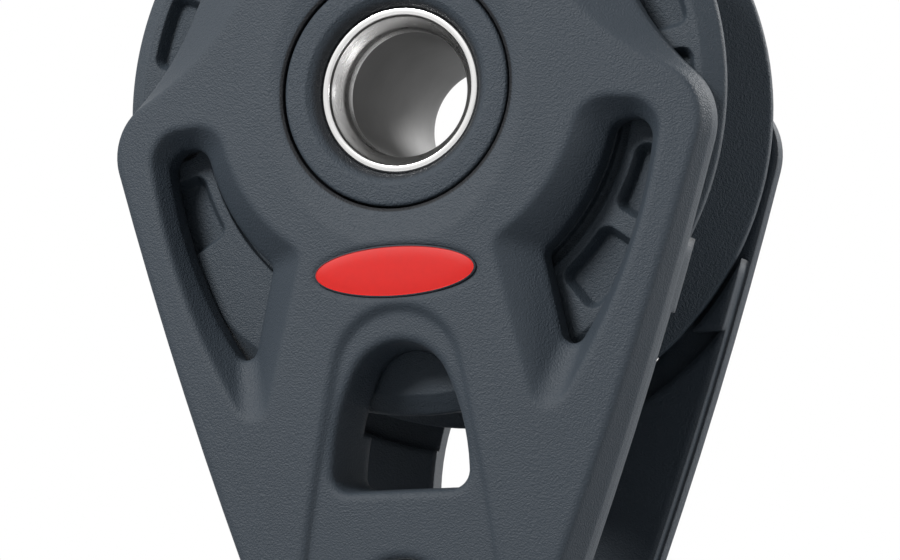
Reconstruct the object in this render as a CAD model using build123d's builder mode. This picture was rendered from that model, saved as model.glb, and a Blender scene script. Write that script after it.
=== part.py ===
from build123d import *
import os
from math import acos, atan2, cos, degrees, hypot, radians, sin

os.makedirs("parts", exist_ok=True)

# A sailing block: a grooved sheave on rollers, between two moulded cheeks that are
# held by a stainless hub tube and by a bushed head. Sizes are in millimetres. The origin
# is the centre of the hub bore, +Y runs along the sheave's axis to the rear cheek, and
# the head points to -Z. A "level" is a distance from the mid-plane, the same on both
# sides, and front pieces are mirrored to make the rear ones.

# Sheave
sheave_radius = 50.0
sheave_level = 15.5
flange_land = 13.4
flange_bevel = 3.0
groove_root_radius = 36.5
groove_round = 8.0
groove_mouth = 12.0
tip_fillet = 0.5
rim_ring_radius = 36.0
ring_groove_width = 1.8
ring_groove_depth = 1.8
ridge_width = 1.0
pocket_count = 13
pocket_pitch = 20.54
pocket_first_angle = -43.3
pocket_rib = 3.3
pocket_inner_radius = 37.6
pocket_height = 8.2
pocket_depth = 2.1
pocket_slope_run = 1.2
pocket_fillet = 2.0

# Roller bearing, from the hub tube outwards
hub_bore_radius = 10.0
hub_tube_radius = 13.1
inner_race_wall = 2.9
roller_radius = 2.95
roller_count = 15
roller_length = 16.0
running_gap = 0.05
outer_race_wall = 2.0
cage_gap = 0.15
cage_ring_width = 1.5
cage_band = 3.6
cover_gap = 0.2
cover_width = 2.3

# Side bearings
ball_radius = 1.45
ball_count = 12
ball_cage_band = 5.0
ball_cage_thickness = 1.0
ball_cage_gap = 0.1
washer_edge_gap = 0.5

# Hub tube ends and caps
hub_end_level = 22.5
hub_lip_width = 1.3
hub_mouth_depth = 0.8
hub_cone_depth = 4.6
hub_edge_round = 0.3
cap_level = 24.4
cap_radius = 18.6
cap_spigot_radius = 15.5
cap_seat_level = 20.8
cap_slot = 0.3
cap_inner_chamfer = 1.6
cap_outer_chamfer = 0.4
seat_gap = 0.05

# Cheeks
cheek_inner_level = 16.5
cheek_wall_level = 19.5
cheek_face_level = 25.3
face_crown_radius = 400.0
loft_over = 0.1
bevel_slope = 0.4
corner_centre = (38.9, -7.3)
corner_radius = 10.7
side_radius = 770.0
head_centre_drop = 82.0
head_radius = 22.95
dish_run = 6.0
lobe_land = 4.0
lobe_slope_run = 10.2
dip_radius = 45.5
dip_front_radius = 30.4
face_edge_fillet = 0.8
plateau_level = 14.3
plateau_gap = 3.9
rail_level = 12.4
rail_gap = 0.9
rail_foot = -36.0
rail_edge = 0.4

# Side windows: a kidney opening at the bottom of a funnel
window_level = 20.0
window_inner_radius = 34.35
window_top = -6.5
window_corner_angle = -49.5
window_outer = (40.7, -6.5)
window_bow = (36.8, -24.3)
window_tip = (26.2, -43.5)
window_fillet = 2.0
window_end_fillet = 3.3
funnel_inner_radius = 28.7
funnel_top = -2.2
funnel_corner_angle = -58.5
funnel_outer = (45.0, -2.2)
funnel_bow = (37.1, -31.4)
funnel_tip = (22.6, -56.8)
funnel_fillet = 3.0
funnel_end_fillet = 6.0

# Head opening, lashing channel and head bush
channel_level = 24.2
channel_top = -34.9
channel_shoulder = (9.6, -42.5)
channel_foot = (18.6, -110.0)
channel_slope_run = 1.6
arch_top = -39.4
arch_shoulder = (7.7, -44.2)
arch_foot = (11.3, -62.5)
arch_fillet = 3.0
arch_draft = 2.0
arch_edge_fillet = 1.2
head_bore_radius = 7.0
bush_radius = 8.3
bush_flange_radius = 9.1
bush_flange_thickness = 1.0
bush_level = 22.6
bush_lip_fillet = 1.2
bush_bore_chamfer = 0.6
spacer_radius = 12.0
spacer_waist_radius = 10.4
spacer_flange = 3.5

# Badge inlay on the front face
badge_drop = 28.7
badge_half_length = 13.3
badge_half_height = 4.05
badge_thickness = 0.9
badge_pocket_depth = 0.7
badge_gap = 0.12

# Levels and radii that follow from the sizes above
inner_race_radius = hub_tube_radius + inner_race_wall
roller_circle_radius = inner_race_radius + running_gap + roller_radius
outer_race_bore = roller_circle_radius + roller_radius + running_gap
sheave_bore = outer_race_bore + outer_race_wall
roller_half = roller_length / 2
cage_half = roller_half + cage_gap + cage_ring_width
cover_start = cage_half + cover_gap
hub_level = cover_start + cover_width
ball_level = hub_level + running_gap + ball_radius
washer_level = ball_level + ball_radius + running_gap
ridge_inner_radius = rim_ring_radius - ring_groove_width - ridge_width
washer_radius = ridge_inner_radius - washer_edge_gap
counterbore_radius = cap_radius + cap_slot
dish_radius = counterbore_radius + dish_run
lobe_front_radius = dish_radius + lobe_land
lobe_radius = lobe_front_radius + lobe_slope_run
plateau_radius = sheave_radius + plateau_gap
rail_radius = sheave_radius + rail_gap
pocket_outer_radius = pocket_inner_radius + pocket_height
ball_ring_radius = (sheave_bore + ridge_inner_radius) / 2
hub_mouth_radius = hub_tube_radius - hub_lip_width
hub_bore_end = hub_end_level - hub_mouth_depth - hub_cone_depth
loft_level = cheek_face_level + loft_over
loft_inset = bevel_slope * (loft_level - cheek_wall_level)
far = 2 * (head_centre_drop + head_radius)


def circle_meet(centre_a, radius_a, centre_b, radius_b, turn):
    """The point where two circles meet, on the side that turn (+1 or -1) names."""
    dx = centre_b[0] - centre_a[0]
    dy = centre_b[1] - centre_a[1]
    span = hypot(dx, dy)
    along = (radius_a**2 - radius_b**2 + span**2) / (2 * span)
    across = turn * (radius_a**2 - along**2) ** 0.5
    return (
        centre_a[0] + (along * dx - across * dy) / span,
        centre_a[1] + (along * dy + across * dx) / span,
    )


def towards(centre, target, distance):
    """The point at a distance from centre, on the line to target."""
    span = hypot(target[0] - centre[0], target[1] - centre[1])
    return (
        centre[0] + (target[0] - centre[0]) * distance / span,
        centre[1] + (target[1] - centre[1]) * distance / span,
    )


def arc_about(centre, radius, start, end):
    """A shallow arc about centre from start to end."""
    middle = ((start[0] + end[0]) / 2, (start[1] + end[1]) / 2)
    return ThreePointArc(start, towards(centre, middle, radius), end)


def polar(radius, degrees):
    return (radius * cos(radians(degrees)), radius * sin(radians(degrees)))


def on_circle(radius, height):
    """The point of a circle about the hub, on its right side, at a height."""
    return ((radius**2 - height**2) ** 0.5, height)


def cheek_outline(inset, lobe, dip):
    """The cheek seen from the front: hub lobe, dips, corners, bowed sides and head end."""
    corner = corner_radius - inset
    side = side_radius - inset
    head = head_radius - inset
    head_centre = (0, -head_centre_drop)
    dip_centre = circle_meet((0, 0), lobe + dip, corner_centre, corner + dip, 1)
    side_centre = circle_meet(corner_centre, side - corner, head_centre, side - head, -1)
    lobe_end = towards((0, 0), dip_centre, lobe)
    corner_start = towards(corner_centre, dip_centre, corner)
    corner_end = towards(side_centre, corner_centre, side)
    side_end = towards(side_centre, head_centre, side)
    with BuildSketch() as outline:
        with BuildLine():
            arc_about((0, 0), lobe, (0, lobe), lobe_end)
            arc_about(dip_centre, dip, lobe_end, corner_start)
            arc_about(corner_centre, corner, corner_start, corner_end)
            arc_about(side_centre, side, corner_end, side_end)
            arc_about(head_centre, head, side_end, (0, -head_centre_drop - head))
            mirror(about=Plane.YZ)
        make_face()
    return outline.sketch


def window_outline(inner_radius, top, corner_angle, outer, bow, tip, corner_fillet, end_fillet):
    """A side window's outline: its inner edge is an arc about the hub."""
    start = on_circle(inner_radius, top)
    corner = polar(inner_radius, corner_angle)
    with BuildSketch() as outline:
        with BuildLine():
            arc_about((0, 0), inner_radius, start, corner)
            Line(corner, tip)
            ThreePointArc(tip, bow, outer)
            Line(outer, start)
        make_face()
        ends = outline.vertices().group_by(Axis.Y)[-1]
        fillet(ends, end_fillet)
        lower = outline.vertices().sort_by(Axis.Y)[:1]
        fillet(lower, corner_fillet)
        inner = outline.vertices().sort_by(Axis.X)[:1]
        fillet(inner, corner_fillet)
    return outline.sketch


def ogive(top, shoulder, foot):
    """The edges of an opening under the hub: a crown, two bowed sides and a straight end."""
    crown = ThreePointArc(shoulder, (0, top), (-shoulder[0], shoulder[1]))
    TangentArc(shoulder, foot, tangent=crown % 0 * -1)
    TangentArc((-shoulder[0], shoulder[1]), (-foot[0], foot[1]), tangent=crown % 1)
    Line(foot, (-foot[0], foot[1]))


def channel_outline(spread):
    """The lashing channel: an arched top that widens down past the head end."""
    with BuildSketch() as outline:
        with BuildLine():
            ogive(
                channel_top + spread,
                (channel_shoulder[0] + spread, channel_shoulder[1]),
                (channel_foot[0] + spread, channel_foot[1]),
            )
        make_face()
    return outline.sketch


def arch_outline(inset):
    """The opening above the head bush, seen from the front."""
    with BuildSketch() as outline:
        with BuildLine():
            ogive(
                arch_top - inset / 2,
                (arch_shoulder[0] - inset, arch_shoulder[1]),
                (arch_foot[0] - inset, arch_foot[1] + inset / 2),
            )
        make_face()
        fillet(outline.vertices().group_by(Axis.Y)[0], arch_fillet - inset / 2)
    return outline.sketch


def ring_section(inner_radius, outer_radius, low, high):
    """Half of a ring's section, with the radius along X and the level along Y."""
    with BuildSketch() as section:
        with Locations(((inner_radius + outer_radius) / 2, (low + high) / 2)):
            Rectangle(outer_radius - inner_radius, high - low)
    return section.sketch


def pocket_outline(inset):
    """One pocket in the sheave's side, centred on the X axis."""
    outer_radius = pocket_outer_radius - inset
    inner_radius = pocket_inner_radius + inset
    half_width = degrees((pocket_rib / 2 + inset) / pocket_outer_radius)
    half_angle = pocket_pitch / 2 - half_width
    with BuildSketch() as outline:
        with BuildLine():
            outer = CenterArc((0, 0), outer_radius, -half_angle, 2 * half_angle)
            inner = CenterArc((0, 0), inner_radius, -half_angle, 2 * half_angle)
            Line(outer @ 0, inner @ 0)
            Line(outer @ 1, inner @ 1)
        make_face()
        fillet(outline.vertices(), pocket_fillet - inset)
    return outline.sketch


def write(piece, name):
    piece.part.label = name
    export_step(piece.part, f"parts/{name}.step")


# The cheek, as its front one, without the badge's seat
with BuildPart() as cheek:
    with BuildSketch(Plane.XZ.offset(cheek_inner_level)):
        add(cheek_outline(0, lobe_radius, dip_radius))
    extrude(amount=cheek_wall_level - cheek_inner_level)
    with BuildSketch(Plane.XZ.offset(cheek_wall_level)):
        add(cheek_outline(0, lobe_radius, dip_radius))
    with BuildSketch(Plane.XZ.offset(loft_level)):
        add(cheek_outline(loft_inset, lobe_front_radius, dip_front_radius))
    loft(ruled=True)
    with Locations((0, face_crown_radius - cheek_face_level, 0)):
        Cylinder(face_crown_radius, far, mode=Mode.INTERSECT)
    # Channel under the lashing
    with BuildSketch(Plane.XZ.offset(channel_level)):
        add(channel_outline(0))
    with BuildSketch(Plane.XZ.offset(loft_level)):
        add(channel_outline(channel_slope_run))
    loft(ruled=True, mode=Mode.SUBTRACT)
    # Dish round the hub cap
    with BuildSketch():
        with BuildLine():
            Polyline(
                (0, -cap_level),
                (counterbore_radius, -cap_level),
                (dish_radius, -cheek_face_level),
                (dish_radius, -far),
                (0, -far),
                close=True,
            )
        make_face()
    revolve(axis=Axis.Y, mode=Mode.SUBTRACT)
    # Side windows
    for flip in (1, -1):
        with BuildSketch(Plane.XZ.offset(window_level)) as kidney:
            add(
                window_outline(
                    window_inner_radius, window_top, window_corner_angle, window_outer,
                    window_bow, window_tip, window_fillet, window_end_fillet,
                )
            )
            if flip < 0:
                mirror(about=Plane.YZ, mode=Mode.REPLACE)
        extrude(amount=-far, mode=Mode.SUBTRACT)
        with BuildSketch(Plane.XZ.offset(window_level)):
            add(kidney.sketch_local)
        with BuildSketch(Plane.XZ.offset(loft_level)):
            add(
                window_outline(
                    funnel_inner_radius, funnel_top, funnel_corner_angle, funnel_outer,
                    funnel_bow, funnel_tip, funnel_fillet, funnel_end_fillet,
                )
            )
            if flip < 0:
                mirror(about=Plane.YZ, mode=Mode.REPLACE)
        loft(ruled=True, mode=Mode.SUBTRACT)
    # Thicker inner side below the sheave, and a rail beside the sheave's lower edge
    for level, radius in ((plateau_level, plateau_radius), (rail_level, rail_radius)):
        with BuildSketch(Plane.XZ.offset(level)):
            add(cheek_outline(rail_edge, lobe_radius - rail_edge, dip_radius))
            Circle(radius, mode=Mode.SUBTRACT)
            if level == plateau_level:
                keep = -far
            else:
                keep = rail_foot
            with Locations((0, keep / 2)):
                Rectangle(far, -keep, mode=Mode.INTERSECT)
        extrude(amount=cheek_inner_level - level)
    # Opening above the head, with drafted walls
    with BuildSketch(Plane.XZ.offset(plateau_level)):
        add(arch_outline(arch_draft))
    with BuildSketch(Plane.XZ.offset(channel_level)):
        add(arch_outline(0))
    loft(ruled=True, mode=Mode.SUBTRACT)
    with BuildSketch(Plane.XZ.offset(channel_level)):
        add(arch_outline(0))
    extrude(amount=far, mode=Mode.SUBTRACT)
    # Bores for the hub cap and the head bush
    with BuildSketch():
        add(ring_section(0, counterbore_radius, -far, -cap_seat_level))
        add(ring_section(0, cap_spigot_radius + seat_gap, -far, 0))
    revolve(axis=Axis.Y, mode=Mode.SUBTRACT)
    with BuildSketch(Plane.XZ.offset(bush_level - bush_flange_thickness)):
        with Locations((0, -head_centre_drop)):
            Circle(bush_flange_radius + seat_gap)
    extrude(amount=far, mode=Mode.SUBTRACT)
    with BuildSketch(Plane.XZ):
        with Locations((0, -head_centre_drop)):
            Circle(bush_radius + seat_gap)
    extrude(amount=far, mode=Mode.SUBTRACT)
    # Soft moulded edges
    crown = cheek.faces().filter_by(GeomType.CYLINDER).sort_by(SortBy.AREA)[-1]
    fillet(crown.edges(), face_edge_fillet)
    channel_floor = cheek.faces().filter_by(Plane.XZ).group_by(Axis.Y)[0].sort_by(SortBy.AREA)[-1]
    openings = sorted(channel_floor.inner_wires(), key=lambda wire: wire.center().Z)
    fillet(openings[0].edges(), bush_lip_fillet)
    fillet(openings[-1].edges(), arch_edge_fillet)

with BuildPart() as front_cheek:
    add(cheek.part)
    with BuildSketch(Plane.XZ.offset(cheek_face_level - badge_pocket_depth)):
        with Locations((0, -badge_drop)):
            Ellipse(badge_half_length + badge_gap, badge_half_height + badge_gap)
    extrude(amount=far, mode=Mode.SUBTRACT)

with BuildPart() as rear_cheek:
    mirror(cheek.part, about=Plane.XZ)

with BuildPart() as badge_inlay:
    with BuildSketch(Plane.XZ.offset(cheek_face_level - badge_pocket_depth)):
        with Locations((0, -badge_drop)):
            Ellipse(badge_half_length, badge_half_height)
    extrude(amount=badge_thickness)
    chamfer(badge_inlay.faces().sort_by(Axis.Y)[0].edges(), badge_thickness / 4)

# Hub
with BuildPart() as hub_tube:
    with BuildSketch():
        with BuildLine():
            Polyline(
                (hub_bore_radius, 0),
                (hub_bore_radius, hub_bore_end),
                (hub_mouth_radius, hub_end_level - hub_mouth_depth),
                (hub_mouth_radius, hub_end_level),
                (hub_tube_radius, hub_end_level),
                (hub_tube_radius, 0),
                close=True,
            )
        make_face()
        mirror(about=Plane.XZ)
    revolve(axis=Axis.Y)
    rims = hub_tube.edges().filter_by(GeomType.CIRCLE).group_by(Axis.Y)
    chamfer(rims[0] + rims[-1], hub_edge_round)

with BuildPart() as inner_race:
    with BuildSketch():
        add(ring_section(hub_tube_radius, inner_race_radius, -cheek_inner_level, cheek_inner_level))
    revolve(axis=Axis.Y)

with BuildPart() as front_hub_cap:
    with BuildSketch() as cap_section:
        add(ring_section(hub_tube_radius, cap_radius, -cap_level, -cap_seat_level))
        add(ring_section(hub_tube_radius, cap_spigot_radius, -cap_seat_level, -cheek_inner_level))
        face_corners = cap_section.vertices().group_by(Axis.Y)[0].sort_by(Axis.X)
        chamfer(face_corners[:1], cap_inner_chamfer)
        chamfer(cap_section.vertices().group_by(Axis.Y)[0].sort_by(Axis.X)[-1:], cap_outer_chamfer)
    revolve(axis=Axis.Y)

with BuildPart() as rear_hub_cap:
    mirror(front_hub_cap.part, about=Plane.XZ)

# Head
head_plane = Plane.XY.offset(-head_centre_drop)
head_axis = Axis((0, 0, -head_centre_drop), (0, 1, 0))
with BuildPart() as head_bush:
    with BuildSketch(head_plane) as bush_section:
        add(ring_section(head_bore_radius, bush_radius, -bush_level, bush_level))
        add(
            ring_section(
                head_bore_radius, bush_flange_radius,
                -bush_level, -bush_level + bush_flange_thickness,
            )
        )
        bore_corners = bush_section.vertices().group_by(Axis.X)[0]
        chamfer(bore_corners, bush_bore_chamfer)
    revolve(axis=head_axis)

with BuildPart() as head_bush_nut:
    with BuildSketch(head_plane):
        add(
            ring_section(
                bush_radius, bush_flange_radius,
                bush_level - bush_flange_thickness, bush_level,
            )
        )
    revolve(axis=head_axis)

with BuildPart() as head_spacer:
    with BuildSketch(head_plane):
        add(ring_section(bush_radius, spacer_waist_radius, -plateau_level, plateau_level))
        add(
            ring_section(
                bush_radius, spacer_radius, plateau_level - spacer_flange, plateau_level
            )
        )
        mirror(about=Plane.XZ)
    revolve(axis=head_axis)

# Sheave
mouth_centre = groove_root_radius + groove_round
mouth_reach = hypot(sheave_radius - mouth_centre, groove_mouth)
wall_angle = atan2(groove_mouth, sheave_radius - mouth_centre) + acos(groove_round / mouth_reach)
wall_foot = (mouth_centre + groove_round * cos(wall_angle), groove_round * sin(wall_angle))
with BuildPart() as sheave:
    with BuildSketch():
        with BuildLine():
            Polyline(
                (groove_root_radius, 0),
                (sheave_bore, 0),
                (sheave_bore, hub_level),
                (ridge_inner_radius, hub_level),
                (ridge_inner_radius, wall_foot[1]),
                wall_foot,
            )
            arc_about((mouth_centre, 0), groove_round, wall_foot, (groove_root_radius, 0))
        make_face()
        mirror(about=Plane.XZ)
    revolve(axis=Axis.Y)

with BuildPart() as rear_sheave_flange:
    with BuildSketch():
        with BuildLine():
            Polyline(
                (ridge_inner_radius, wall_foot[1]),
                (ridge_inner_radius, sheave_level),
                (ridge_inner_radius + ridge_width, sheave_level),
                (ridge_inner_radius + ridge_width, sheave_level - ring_groove_depth),
                (rim_ring_radius, sheave_level - ring_groove_depth),
                (rim_ring_radius, sheave_level),
                (sheave_radius - flange_bevel, sheave_level),
                (sheave_radius, flange_land),
                (sheave_radius, groove_mouth),
                wall_foot,
                close=True,
            )
        make_face()
    revolve(axis=Axis.Y)
    tips = rear_sheave_flange.edges().filter_by(GeomType.CIRCLE).group_by(SortBy.RADIUS)[-1]
    fillet(tips, tip_fillet)
    for index in range(pocket_count):
        turn = pocket_first_angle + index * pocket_pitch
        with BuildSketch(Plane.XZ.offset(-sheave_level)):
            add(pocket_outline(0), rotation=turn)
        with BuildSketch(Plane.XZ.offset(pocket_depth - sheave_level)):
            add(pocket_outline(pocket_slope_run), rotation=turn)
        loft(ruled=True, mode=Mode.SUBTRACT)

with BuildPart() as front_sheave_flange:
    mirror(rear_sheave_flange.part, about=Plane.XZ)

# Roller bearing
with BuildPart() as outer_race:
    with BuildSketch():
        add(ring_section(outer_race_bore, sheave_bore, -cover_start, cover_start))
    revolve(axis=Axis.Y)

with BuildPart() as front_race_cover:
    with BuildSketch():
        add(ring_section(inner_race_radius + cover_gap, sheave_bore, -hub_level, -cover_start))
    revolve(axis=Axis.Y)

with BuildPart() as rear_race_cover:
    mirror(front_race_cover.part, about=Plane.XZ)

with BuildPart() as roller_cage:
    with BuildSketch():
        add(
            ring_section(
                roller_circle_radius - cage_band / 2, roller_circle_radius + cage_band / 2,
                -cage_half, cage_half,
            )
        )
    revolve(axis=Axis.Y)
    with BuildSketch(Plane.XZ):
        with PolarLocations(roller_circle_radius, roller_count):
            Circle(roller_radius + cage_gap)
    extrude(amount=roller_half + cage_gap, both=True, mode=Mode.SUBTRACT)

for index in range(roller_count):
    with BuildPart() as roller:
        with BuildSketch(Plane.XZ):
            with Locations(polar(roller_circle_radius, index * 360 / roller_count)):
                Circle(roller_radius)
        extrude(amount=roller_half, both=True)
    write(roller, f"roller_{index + 1:02d}")

# Side bearings
with BuildPart() as front_thrust_washer:
    with BuildSketch():
        add(
            ring_section(
                inner_race_radius + seat_gap, washer_radius, -cheek_inner_level, -washer_level
            )
        )
    revolve(axis=Axis.Y)

with BuildPart() as rear_thrust_washer:
    mirror(front_thrust_washer.part, about=Plane.XZ)

with BuildPart() as front_balls:
    with Locations(Plane.XZ.offset(ball_level)):
        with PolarLocations(ball_ring_radius, ball_count):
            Sphere(ball_radius)

with BuildPart() as rear_balls:
    mirror(front_balls.part, about=Plane.XZ)

with BuildPart() as front_ball_cage:
    with BuildSketch(Plane.XZ.offset(ball_level - ball_cage_thickness / 2)):
        Circle(ball_ring_radius + ball_cage_band / 2)
        Circle(ball_ring_radius - ball_cage_band / 2, mode=Mode.SUBTRACT)
        with PolarLocations(ball_ring_radius, ball_count):
            Circle(ball_radius + ball_cage_gap, mode=Mode.SUBTRACT)
    extrude(amount=ball_cage_thickness)

with BuildPart() as rear_ball_cage:
    mirror(front_ball_cage.part, about=Plane.XZ)

write(front_cheek, "front_cheek")
write(rear_cheek, "rear_cheek")
write(badge_inlay, "badge_inlay")
write(hub_tube, "hub_tube")
write(inner_race, "inner_race")
write(front_hub_cap, "front_hub_cap")
write(rear_hub_cap, "rear_hub_cap")
write(head_bush, "head_bush")
write(head_bush_nut, "head_bush_nut")
write(head_spacer, "head_spacer")
write(sheave, "sheave")
write(front_sheave_flange, "front_sheave_flange")
write(rear_sheave_flange, "rear_sheave_flange")
write(outer_race, "outer_race")
write(front_race_cover, "front_race_cover")
write(rear_race_cover, "rear_race_cover")
write(roller_cage, "roller_cage")
write(front_thrust_washer, "front_thrust_washer")
write(rear_thrust_washer, "rear_thrust_washer")
write(front_balls, "front_balls")
write(rear_balls, "rear_balls")
write(front_ball_cage, "front_ball_cage")
write(rear_ball_cage, "rear_ball_cage")
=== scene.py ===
"""Looks for the sailing block: finishes for its moulded and turned pieces, and a plain studio.

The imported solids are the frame. The hub tube, hub caps, head bush and badge are turned and
pressed again here with their fine edges. Every other piece keeps its solid and gets a finish.
All lengths are metres, in the part's own frame: the hub bore runs along Y.
"""

from math import cos, hypot, pi, radians, sin

import bpy
from mathutils import Matrix, Vector


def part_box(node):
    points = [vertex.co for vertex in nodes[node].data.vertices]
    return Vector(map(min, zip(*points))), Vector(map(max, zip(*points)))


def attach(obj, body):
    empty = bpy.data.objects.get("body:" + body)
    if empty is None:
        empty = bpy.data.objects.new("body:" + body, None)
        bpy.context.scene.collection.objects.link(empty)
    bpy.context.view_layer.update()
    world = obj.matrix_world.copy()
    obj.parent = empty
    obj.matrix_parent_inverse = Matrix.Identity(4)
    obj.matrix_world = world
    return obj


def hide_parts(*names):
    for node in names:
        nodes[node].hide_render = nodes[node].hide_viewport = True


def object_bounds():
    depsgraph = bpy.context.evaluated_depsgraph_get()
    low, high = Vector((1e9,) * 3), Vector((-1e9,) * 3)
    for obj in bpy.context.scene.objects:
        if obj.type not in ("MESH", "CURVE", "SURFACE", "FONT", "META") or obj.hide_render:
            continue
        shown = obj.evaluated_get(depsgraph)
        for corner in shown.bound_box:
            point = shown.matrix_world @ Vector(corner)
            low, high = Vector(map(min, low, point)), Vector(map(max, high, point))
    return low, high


MM = 0.001

# Camera: where it stands from the hub's centre, as the photograph shows the hub
CAMERA_AZIMUTH = radians(20.64)
CAMERA_ELEVATION = radians(-7.20)
CAMERA_ROLL = radians(-0.71)
CAMERA_DISTANCE = 628.9 * MM
HUB_RIGHT_OF_CENTRE = 0.06 * MM
HUB_ABOVE_CENTRE = 27.01 * MM
LENS = 156.7
SENSOR = 36.0

# Studio: the camera and mirror-like surfaces see white, and the block is lit by the lamps
FLOOR_GAP = 0.4 * MM
FLOOR_SIZE = 3.0
FLOOR_COLOUR = (0.80, 0.80, 0.80, 1)
FLOOR_BOUNCE = (0.12, 0.15, 0.18, 1)
WHITE = (1, 1, 1, 1)
WORLD_LEVEL = 0.04
WORLD_TINT = (0.80, 1.0, 1.22, 1)
LAMPS = (
    # name, place, target, width of the disk, watts
    ("key", (-0.36, -0.80, 0.58), (0, 0, -0.01), 0.35, 14),
    ("right", (1.0, -0.05, 0.10), (0, 0, -0.03), 0.25, 3),
    ("back", (0.60, 0.65, 0.55), (0, 0, -0.03), 0.5, 9),
)

# Sockets of Blender's Mix node when it mixes colours
MIX_FACTOR, MIX_FIRST, MIX_SECOND = 0, 6, 7
MIX_RESULT = 2

# Mouldings: grain scales are per metre, depths and radii in metres
PLASTIC_SPECULAR = 0.25
EDGE_SOFTNESS = 1.7 * MM
EDGE_SAMPLES = 6
FINE_GRAIN = 4600
SPECK_GRAIN = 3100
COARSE_GRAIN = 2300
CHEEK_GRAIN_DEPTH = 0.10 * MM
CAP_GRAIN_DEPTH = 0.15 * MM
SHEAVE_GRAIN_DEPTH = 0.16 * MM
CAP_EDGE_SHARE = 0.3
SHEAVE_EDGE_SHARE = 0.4
GROOVE_HALF_WIDTH = 12.3 * MM
POCKET_LEVEL = 15.0 * MM

# Painted shade: a dark ring painted on the cheek where the gap beside a hub cap lies in shadow,
# and painted shade in the cap's cove round the hub tube
CAP_GAP_INNER = 18.45 * MM
CAP_GAP_OUTER = 19.35 * MM
TUBE_SHADE_RADIUS = 14.1 * MM
TUBE_SHADE = 0.85
PAINTED_GAP_SHADE = (0.004, 0.005, 0.007, 1)

# Turning marks on the steel
TURNING_MARKS = 5200
POLISH_DEPTH = 0.004 * MM
SATIN_DEPTH = 0.008 * MM

# Turned pieces. A curve is a row of points, each as far out from a radius and in from a level
RING_STEPS = 192
BEVEL_SEGMENTS = 3
BEVEL_ANGLE = radians(25)
SMOOTH_ANGLE = radians(32)

TUBE_EDGE = 0.3 * MM
TUBE_BEVEL = 0.12 * MM
HUB_BORE = 10.0 * MM
HUB_MOUTH = 11.8 * MM
FLARE_END = 5.4 * MM
HUB_CURVE = (
    (2.0 * MM, 0),
    (1.8 * MM, 0.2 * MM),
    (1.7 * MM, 0.8 * MM),
    (1.45 * MM, 1.15 * MM),
    (0.45 * MM, 2.5 * MM),
    (0.15 * MM, 3.1 * MM),
    (0.02 * MM, 4.0 * MM),
    (0, FLARE_END),
)
BORE_RADIUS_LIMIT = HUB_BORE + 0.2 * MM
REAR_BORE_RADIUS_LIMIT = HUB_BORE + 0.5 * MM
FLARE_RADIUS_LIMIT = HUB_MOUTH - 0.2 * MM
BORE_LEVEL_MARGIN = 0.1 * MM

CAP_BEVEL = 0.15 * MM
CAP_CLEARANCE = 0.02 * MM
CAP_SPIGOT = 15.5 * MM
CAP_SPIGOT_END = 16.5 * MM
CAP_SEAT = 20.8 * MM
CAP_RIM_CURVE = ((0, 0.7 * MM), (-0.15 * MM, 0.3 * MM), (-0.5 * MM, 0))
CAP_COVE_CURVE = (
    (1.9 * MM, 0),
    (1.6 * MM, 0.25 * MM),
    (0.7 * MM, 0.9 * MM),
    (0.15 * MM, 1.7 * MM),
    (0, 2.4 * MM),
)

BUSH_BEVEL = 0.1 * MM
BUSH_BORE = 7.0 * MM
BUSH_TUBE = 8.3 * MM
BUSH_FLANGE_THICKNESS = 1.0 * MM
BUSH_RIM = 0.2 * MM
BUSH_MOUTH_CURVE = ((0.9 * MM, 0), (0.25 * MM, 0.25 * MM), (0, 0.9 * MM))

# Badge: how far in from its oval outline, and how far below its highest level
BADGE_STEPS = 128
BADGE_RIM = 0.25 * MM
BADGE_CURVE = (
    (0, 0.1 * MM),
    (0.1 * MM, 0),
    (BADGE_RIM, 0),
    (BADGE_RIM + 0.1 * MM, 0.12 * MM),
    (1.2 * MM, 0.04 * MM),
    (2.2 * MM, 0.01 * MM),
    (3.4 * MM, 0),
)
FACING_FRONT = -0.3

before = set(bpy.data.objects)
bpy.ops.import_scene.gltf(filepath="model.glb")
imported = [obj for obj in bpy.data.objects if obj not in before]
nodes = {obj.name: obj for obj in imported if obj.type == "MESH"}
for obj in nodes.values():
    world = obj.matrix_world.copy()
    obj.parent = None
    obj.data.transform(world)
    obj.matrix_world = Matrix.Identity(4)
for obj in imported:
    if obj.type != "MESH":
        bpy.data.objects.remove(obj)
cad_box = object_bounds()


class Socket:
    """One value in a material's node tree, with arithmetic on it."""

    def __init__(self, finish, socket):
        self.finish = finish
        self.socket = socket

    def maths(self, operation, first, second):
        return self.finish.node("ShaderNodeMath", {0: first, 1: second}, operation=operation)

    def __add__(self, other):
        return self.maths("ADD", self, other)

    def __radd__(self, other):
        return self.maths("ADD", self, other)

    def __rsub__(self, other):
        return self.maths("SUBTRACT", other, self)

    def __mul__(self, other):
        return self.maths("MULTIPLY", self, other)

    def __pow__(self, other):
        return self.maths("POWER", self, other)

    def above(self, level, softness):
        """0 below a level, 1 above it, with a soft step."""
        return self.finish.node(
            "ShaderNodeMapRange",
            {"Value": self, "From Min": level - softness, "From Max": level + softness},
            interpolation_type="SMOOTHSTEP",
        )


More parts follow.
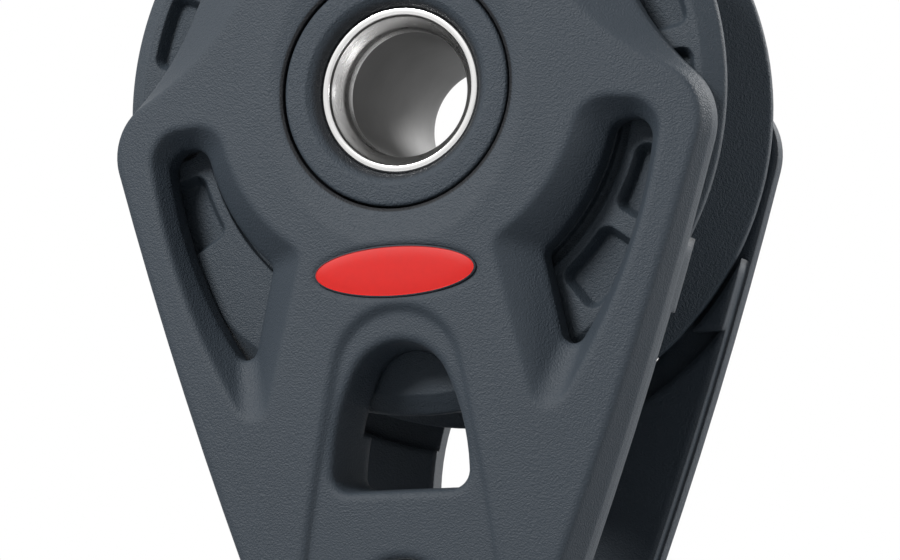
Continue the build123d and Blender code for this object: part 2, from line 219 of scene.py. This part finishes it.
class Finish:
    """A procedural material on one Principled shader."""

    def __init__(self, name, **fixed):
        self.material = bpy.data.materials.new(name)
        self.material.use_nodes = True
        self.tree = self.material.node_tree
        self.shader = self.tree.nodes["Principled BSDF"]
        for socket, value in fixed.items():
            self.shader.inputs[socket.replace("_", " ")].default_value = value

    def node(self, kind, inputs=None, output=0, **settings):
        made = self.tree.nodes.new(kind)
        for setting, value in settings.items():
            setattr(made, setting, value)
        for socket, value in (inputs or {}).items():
            self.feed(made.inputs[socket], value)
        return Socket(self, made.outputs[output])

    def feed(self, socket, value):
        if isinstance(value, Socket):
            self.tree.links.new(value.socket, socket)
        else:
            socket.default_value = value

    def place(self):
        return self.node("ShaderNodeTexCoord", output="Object")

    def split(self, vector):
        made = self.node("ShaderNodeSeparateXYZ", {0: vector})
        outputs = made.socket.node.outputs
        return [Socket(self, outputs[axis]) for axis in range(3)]

    def noise(self, place, scale, detail, roughness):
        return self.node(
            "ShaderNodeTexNoise",
            {"Vector": place, "Scale": scale, "Detail": detail, "Roughness": roughness},
            output="Fac",
        )

    def mix(self, factor, first, second):
        made = self.node("ShaderNodeMix", data_type="RGBA", output=MIX_RESULT)
        inputs = made.socket.node.inputs
        self.feed(inputs[MIX_FACTOR], factor)
        self.feed(inputs[MIX_FIRST], first)
        self.feed(inputs[MIX_SECOND], second)
        return made

    def bump(self, height, distance, under=None):
        inputs = {"Height": height, "Distance": distance, "Strength": 1.0}
        if under is not None:
            inputs["Normal"] = under
        return self.node("ShaderNodeBump", inputs)

    def soft_edges(self, share):
        """Normals that turn softly over the moulding's edges."""
        radius = share * EDGE_SOFTNESS
        return self.node("ShaderNodeBevel", {"Radius": radius}, samples=EDGE_SAMPLES)

    def surface(self, **sockets):
        for socket, value in sockets.items():
            self.feed(self.shader.inputs[socket.replace("_", " ")], value)
        return self.material


def radius_and_level(finish, place):
    """How far a point lies from the hub's axis, and where along it."""
    x, y, z = finish.split(place)
    return (x * x + z * z) ** 0.5, y


def darker(colour, share):
    return [channel * share for channel in colour[:3]] + [1]


def moulded(name, dark, light, grain_depth, edge_share):
    """Glass-filled moulding: a fine spark-eroded grain, a faint cloudiness, painted shade round
    a hub cap.
    """
    finish = Finish(name, Specular_IOR_Level=PLASTIC_SPECULAR)
    place = finish.place()
    cloud = finish.noise(place, 45, 4, 0.6)
    grain = finish.noise(place, FINE_GRAIN, 2, 0.5)
    speck = finish.noise(place, SPECK_GRAIN, 1, 0.4)
    tone = cloud * 0.35 + grain * 0.4 + speck * 0.25
    radius, _ = radius_and_level(finish, place)
    # Painted shade: a dark ring on the cheek just outside a hub cap, where the gap lies in
    # shadow, and a darker cove round the hub tube
    past_cap = radius.above(CAP_GAP_INNER, 0.1 * MM)
    past_gap = radius.above(CAP_GAP_OUTER, 0.15 * MM)
    past_cove = radius.above(TUBE_SHADE_RADIUS, 0.5 * MM)
    painted_shade_mask = past_cap * (1 - past_gap) + (1 - past_cove) * TUBE_SHADE
    colour = finish.mix(tone, dark, light)
    return finish.surface(
        Base_Color=finish.mix(painted_shade_mask, colour, PAINTED_GAP_SHADE),
        Roughness=0.42 + grain * 0.14 + cloud * 0.08,
        Normal=finish.bump(grain + speck, grain_depth, finish.soft_edges(edge_share)),
    )


def sheave_moulded(name, dark, light):
    """The sheave's moulding, coarser in the rope groove and the pockets."""
    finish = Finish(name, Specular_IOR_Level=PLASTIC_SPECULAR)
    place = finish.place()
    _, level = radius_and_level(finish, place)
    from_middle = (level * level) ** 0.5
    cloud = finish.noise(place, 60, 4, 0.6)
    grain = finish.noise(place, FINE_GRAIN, 2, 0.5)
    coarse = finish.noise(place, COARSE_GRAIN, 2, 0.5)
    in_groove = 1 - from_middle.above(GROOVE_HALF_WIDTH, 0.4 * MM)
    in_pocket = 1 - from_middle.above(POCKET_LEVEL, 0.3 * MM)
    rough_zone = in_groove * 0.5 + in_pocket * 0.5
    tone = cloud * 0.4 + grain * 0.3 + coarse * 0.3
    height = grain * 0.8 + coarse * (rough_zone + 0.3)
    soft_edges = finish.soft_edges(SHEAVE_EDGE_SHARE)
    return finish.surface(
        Base_Color=finish.mix(tone, dark, light),
        Roughness=0.44 + grain * 0.12 + rough_zone * 0.08,
        Normal=finish.bump(height, SHEAVE_GRAIN_DEPTH, soft_edges),
    )


def turned_steel(name, colour, roughness, mark_depth=POLISH_DEPTH):
    """Stainless steel with the faint turning marks that run round its axis."""
    finish = Finish(name, Metallic=1.0)
    place = finish.place()
    radius, level = radius_and_level(finish, place)
    marks = finish.node(
        "ShaderNodeTexNoise",
        {"W": radius + level, "Scale": TURNING_MARKS, "Detail": 4, "Roughness": 0.6},
        output="Fac",
        noise_dimensions="1D",
    )
    smear = finish.noise(place, 160, 3, 0.6)
    tone = marks * 0.4 + smear * 0.6
    return finish.surface(
        Base_Color=finish.mix(tone, colour, darker(colour, 0.72)),
        Roughness=roughness + marks * 0.10 + smear * 0.06,
        Normal=finish.bump(marks, mark_depth),
    )


def plain_plastic(name, colour, roughness):
    """The smooth mouldings inside: races' covers, cages, washers and balls."""
    finish = Finish(name)
    place = finish.place()
    cloud = finish.noise(place, 300, 3, 0.5)
    return finish.surface(
        Base_Color=finish.mix(cloud, colour, darker(colour, 0.85)),
        Roughness=roughness + cloud * 0.08,
        Normal=finish.bump(cloud, 0.01 * MM),
    )


def badge_gloss(name, colour):
    """The badge's bare red face under a thin clear coat."""
    finish = Finish(
        name, Coat_Weight=0.1, Coat_Roughness=0.15, Specular_IOR_Level=PLASTIC_SPECULAR
    )
    place = finish.place()
    fleck = finish.noise(place, 700, 3, 0.5)
    return finish.surface(
        Base_Color=finish.mix(fleck, colour, darker(colour, 0.86)),
        Roughness=0.28 + fleck * 0.08,
        Normal=finish.bump(fleck, 0.006 * MM),
    )


SLATE = moulded(
    "cheek_composite", (0.021, 0.029, 0.038, 1), (0.045, 0.055, 0.067, 1), CHEEK_GRAIN_DEPTH, 1
)
CAP = moulded(
    "cap_composite",
    (0.024, 0.032, 0.041, 1),
    (0.048, 0.059, 0.072, 1),
    CAP_GRAIN_DEPTH,
    CAP_EDGE_SHARE,
)
WHEEL = sheave_moulded("sheave_composite", (0.022, 0.030, 0.039, 1), (0.040, 0.051, 0.063, 1))
STEEL = turned_steel("polished_stainless", (0.74, 0.735, 0.73, 1), 0.12)
BORE = turned_steel("satin_bore", (0.22, 0.219, 0.217, 1), 0.55)
FLARE = turned_steel("satin_flare", (0.72, 0.715, 0.71, 1), 0.20, SATIN_DEPTH)
RACE = turned_steel("ground_steel", (0.60, 0.60, 0.60, 1), 0.25)
BLACK = plain_plastic("black_plastic", (0.012, 0.013, 0.015, 1), 0.5)
IVORY = plain_plastic("ball_plastic", (0.62, 0.60, 0.54, 1), 0.35)
RED = badge_gloss("badge_red", (0.68, 0.016, 0.012, 1))

FINISHES = {
    "front_cheek": SLATE,
    "rear_cheek": SLATE,
    "head_spacer": SLATE,
    "sheave": WHEEL,
    "front_sheave_flange": WHEEL,
    "rear_sheave_flange": WHEEL,
    "head_bush_nut": STEEL,
    "inner_race": RACE,
    "outer_race": RACE,
    "front_race_cover": BLACK,
    "rear_race_cover": BLACK,
    "roller_cage": BLACK,
    "front_ball_cage": BLACK,
    "rear_ball_cage": BLACK,
    "front_thrust_washer": BLACK,
    "rear_thrust_washer": BLACK,
    "front_balls": IVORY,
    "rear_balls": IVORY,
}


def choose(piece):
    bpy.ops.object.select_all(action="DESELECT")
    piece.select_set(True)
    bpy.context.view_layer.objects.active = piece


def give(piece, *materials):
    piece.data.materials.clear()
    for material in materials:
        piece.data.materials.append(material)


def settle(name):
    """Name the new primitive and put its place into its mesh."""
    piece = bpy.context.object
    piece.name = name
    piece.data.name = name
    bpy.ops.object.transform_apply(location=True, rotation=True, scale=True)
    return piece


def soften(piece, width):
    bevel = piece.modifiers.new("Soft edges", "BEVEL")
    bevel.width = width
    bevel.segments = BEVEL_SEGMENTS
    bevel.limit_method = "ANGLE"
    bevel.angle_limit = BEVEL_ANGLE
    bevel.harden_normals = False
    choose(piece)
    bpy.ops.object.modifier_apply(modifier=bevel.name)


def smooth(piece):
    choose(piece)
    bpy.ops.object.shade_smooth_by_angle(angle=SMOOTH_ANGLE)


def turned(name, profile, centre_height=0.0):
    """A ring about an axis along Y: a circle extruded from point to point of its profile."""
    bpy.ops.object.select_all(action="DESELECT")
    first_radius, first_level = profile[0]
    bpy.ops.mesh.primitive_circle_add(
        vertices=RING_STEPS,
        radius=first_radius,
        fill_type="NOTHING",
        location=(0, first_level, centre_height),
        rotation=(pi / 2, 0, 0),
    )
    piece = settle(name)
    bpy.ops.object.mode_set(mode="EDIT")
    bpy.ops.mesh.select_mode(type="EDGE")
    bpy.ops.mesh.select_all(action="SELECT")
    for (radius, level), (next_radius, next_level) in zip(profile, profile[1:]):
        bpy.ops.mesh.extrude_region_move(
            TRANSFORM_OT_translate={"value": (0, next_level - level, 0)}
        )
        grow = next_radius / radius
        bpy.ops.transform.resize(
            value=(grow, 1, grow), center_override=(0, next_level, centre_height)
        )
    bpy.ops.mesh.select_all(action="DESELECT")
    bpy.ops.mesh.select_non_manifold()
    bpy.ops.mesh.bridge_edge_loops()
    bpy.ops.mesh.select_all(action="SELECT")
    bpy.ops.mesh.normals_make_consistent(inside=False)
    bpy.ops.object.mode_set(mode="OBJECT")
    return piece


def curve(points, radius, level):
    """A curve's points, set at a radius and a level of the turned piece."""
    return [(radius + out, level - depth) for out, depth in points]


def mirrored(profile, side=-1):
    return [(radius, side * level) for radius, level in profile]


def make_hub_tube():
    """The hollow axle: polished lips and satin flares on a duller bore."""
    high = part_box("hub_tube")[1]
    outer = high.x
    end = high.y
    half = [
        (outer, end - TUBE_EDGE),
        (outer - TUBE_EDGE, end),
        *curve(HUB_CURVE, HUB_BORE, end),
    ]
    piece = turned("hub_tube_turned", half + mirrored(reversed(half)))
    give(piece, STEEL, BORE, FLARE)
    bore_level = end - FLARE_END - BORE_LEVEL_MARGIN
    for face in piece.data.polygons:
        radius = hypot(face.center.x, face.center.z)
        in_bore = abs(face.center.y) < bore_level and radius < BORE_RADIUS_LIMIT
        in_rear_flare = face.center.y > 0 and radius < REAR_BORE_RADIUS_LIMIT
        if in_bore or in_rear_flare:
            face.material_index = 1
        elif radius < FLARE_RADIUS_LIMIT:
            face.material_index = 2
    soften(piece, TUBE_BEVEL)
    smooth(piece)
    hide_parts("hub_tube")
    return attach(piece, "frame")


def make_cap(side, node):
    """A hub cap: a grained ring with a coved inner edge."""
    low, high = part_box(node)
    face = max(abs(low.y), abs(high.y))
    outer = high.x
    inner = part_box("hub_tube")[1].x + CAP_CLEARANCE
    profile = [
        (outer, CAP_SEAT),
        *curve(CAP_RIM_CURVE, outer, face),
        *curve(CAP_COVE_CURVE, inner, face),
        (inner, CAP_SPIGOT_END),
        (CAP_SPIGOT, CAP_SPIGOT_END),
        (CAP_SPIGOT, CAP_SEAT),
    ]
    piece = turned(node + "_turned", mirrored(profile, side))
    give(piece, CAP)
    soften(piece, CAP_BEVEL)
    smooth(piece)
    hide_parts(node)
    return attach(piece, "frame")


def make_head_bush():
    """The bright bush through the head, with its flange at the front."""
    low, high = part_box("head_bush")
    height = (low.z + high.z) / 2
    flange = high.x
    end = high.y
    mouth = curve(BUSH_MOUTH_CURVE, BUSH_BORE, end)
    profile = [
        (BUSH_TUBE, end),
        *mouth,
        *mirrored(reversed(mouth)),
        (flange - BUSH_RIM, -end),
        (flange, -end + BUSH_RIM),
        (flange, -end + BUSH_FLANGE_THICKNESS),
        (BUSH_TUBE, -end + BUSH_FLANGE_THICKNESS),
    ]
    piece = turned("head_bush_turned", profile, height)
    give(piece, STEEL)
    soften(piece, BUSH_BEVEL)
    smooth(piece)
    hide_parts("head_bush")
    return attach(piece, "frame")


def make_badge():
    """The oval badge: a slightly domed, bare red face inside a fine dark edge."""
    low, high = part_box("badge_inlay")
    half_length = (high.x - low.x) / 2
    half_height = (high.z - low.z) / 2
    middle = (low + high) / 2
    bpy.ops.object.select_all(action="DESELECT")
    bpy.ops.mesh.primitive_circle_add(
        vertices=BADGE_STEPS,
        radius=half_length,
        fill_type="NGON",
        location=(middle.x, high.y, middle.z),
        rotation=(pi / 2, 0, 0),
    )
    piece = bpy.context.object
    piece.scale = (1, half_height / half_length, 1)
    piece = settle("badge_face")
    bpy.ops.object.mode_set(mode="EDIT")
    bpy.ops.mesh.select_mode(type="FACE")
    bpy.ops.mesh.select_all(action="SELECT")
    inset = 0
    level = high.y
    for next_inset, depth in BADGE_CURVE:
        next_level = low.y + depth
        bpy.ops.mesh.extrude_region_move(
            TRANSFORM_OT_translate={"value": (0, next_level - level, 0)}
        )
        grow_length = (half_length - next_inset) / (half_length - inset)
        grow_height = (half_height - next_inset) / (half_height - inset)
        bpy.ops.transform.resize(
            value=(grow_length, 1, grow_height),
            center_override=(middle.x, next_level, middle.z),
        )
        inset = next_inset
        level = next_level
    bpy.ops.mesh.select_all(action="SELECT")
    bpy.ops.mesh.normals_make_consistent(inside=False)
    bpy.ops.object.mode_set(mode="OBJECT")
    give(piece, SLATE, RED)
    for face in piece.data.polygons:
        across = (face.center.x - middle.x) / (half_length - BADGE_RIM)
        upward = (face.center.z - middle.z) / (half_height - BADGE_RIM)
        if face.normal.y < FACING_FRONT and hypot(across, upward) < 1:
            face.material_index = 1
    smooth(piece)
    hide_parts("badge_inlay")
    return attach(piece, "frame")


def finish_nodes():
    for name, node in nodes.items():
        if name.startswith("roller_") and name != "roller_cage":
            give(node, RACE)
        elif name in FINISHES:
            give(node, FINISHES[name])


def camera_axes():
    """Right, up and back directions of the camera."""
    back = Vector((
        sin(CAMERA_AZIMUTH) * cos(CAMERA_ELEVATION),
        -cos(CAMERA_AZIMUTH) * cos(CAMERA_ELEVATION),
        sin(CAMERA_ELEVATION),
    ))
    level = Vector((cos(CAMERA_AZIMUTH), sin(CAMERA_AZIMUTH), 0))
    upright = back.cross(level)
    right = cos(CAMERA_ROLL) * level + sin(CAMERA_ROLL) * upright
    up = cos(CAMERA_ROLL) * upright - sin(CAMERA_ROLL) * level
    return right, up, back


def add_camera():
    right, up, back = camera_axes()
    spot = back * CAMERA_DISTANCE - right * HUB_RIGHT_OF_CENTRE - up * HUB_ABOVE_CENTRE
    data = bpy.data.cameras.new("camera")
    data.lens = LENS
    data.sensor_width = SENSOR
    camera = bpy.data.objects.new("camera", data)
    bpy.context.scene.collection.objects.link(camera)
    turn = Matrix((right, up, back)).transposed().to_4x4()
    camera.matrix_world = Matrix.Translation(spot) @ turn
    bpy.context.scene.camera = camera


def add_lamp(name, place, target, width, watts):
    data = bpy.data.lights.new(name, "AREA")
    data.shape = "DISK"
    data.size = width
    data.energy = watts
    lamp = bpy.data.objects.new(name, data)
    bpy.context.scene.collection.objects.link(lamp)
    lamp.location = place
    aim = Vector(target) - Vector(place)
    lamp.rotation_euler = aim.to_track_quat("-Z", "Y").to_euler()


def add_floor():
    """A pale floor that throws only a little light up onto the block."""
    lowest = cad_box[0][2]
    bpy.ops.object.select_all(action="DESELECT")
    bpy.ops.mesh.primitive_plane_add(size=FLOOR_SIZE, location=(0, 0, lowest - FLOOR_GAP))
    floor = bpy.context.object
    floor.name = "floor"
    paint = Finish("pale_floor", Roughness=0.8)
    bounced = paint.node("ShaderNodeLightPath", output="Is Diffuse Ray")
    colour = paint.mix(bounced, FLOOR_COLOUR, FLOOR_BOUNCE)
    floor.data.materials.append(paint.surface(Base_Color=colour))


def add_world():
    """White for the camera, reflections and clear pieces, and a dim cool fill for the rest."""
    world = bpy.data.worlds.new("studio")
    bpy.context.scene.world = world
    world.use_nodes = True
    tree = world.node_tree
    background = tree.nodes["Background"]
    rays = tree.nodes.new("ShaderNodeLightPath")
    seen = rays.outputs["Is Camera Ray"]
    for kind in ("Is Glossy Ray", "Is Transmission Ray"):
        either = tree.nodes.new("ShaderNodeMath")
        either.operation = "MAXIMUM"
        tree.links.new(seen, either.inputs[0])
        tree.links.new(rays.outputs[kind], either.inputs[1])
        seen = either.outputs[0]
    level = tree.nodes.new("ShaderNodeMapRange")
    level.inputs["To Min"].default_value = WORLD_LEVEL
    level.inputs["To Max"].default_value = 1.0
    tree.links.new(seen, level.inputs["Value"])
    tree.links.new(level.outputs["Result"], background.inputs["Strength"])
    tint = tree.nodes.new("ShaderNodeMix")
    tint.data_type = "RGBA"
    tint.inputs[MIX_FIRST].default_value = WORLD_TINT
    tint.inputs[MIX_SECOND].default_value = WHITE
    tree.links.new(seen, tint.inputs[MIX_FACTOR])
    tree.links.new(tint.outputs[MIX_RESULT], background.inputs["Color"])


finish_nodes()
make_hub_tube()
make_cap(-1, "front_hub_cap")
make_cap(1, "rear_hub_cap")
make_head_bush()
make_badge()
add_camera()
add_floor()
add_world()
for lamp in LAMPS:
    add_lamp(*lamp)
bpy.context.scene.view_settings.view_transform = "Standard"
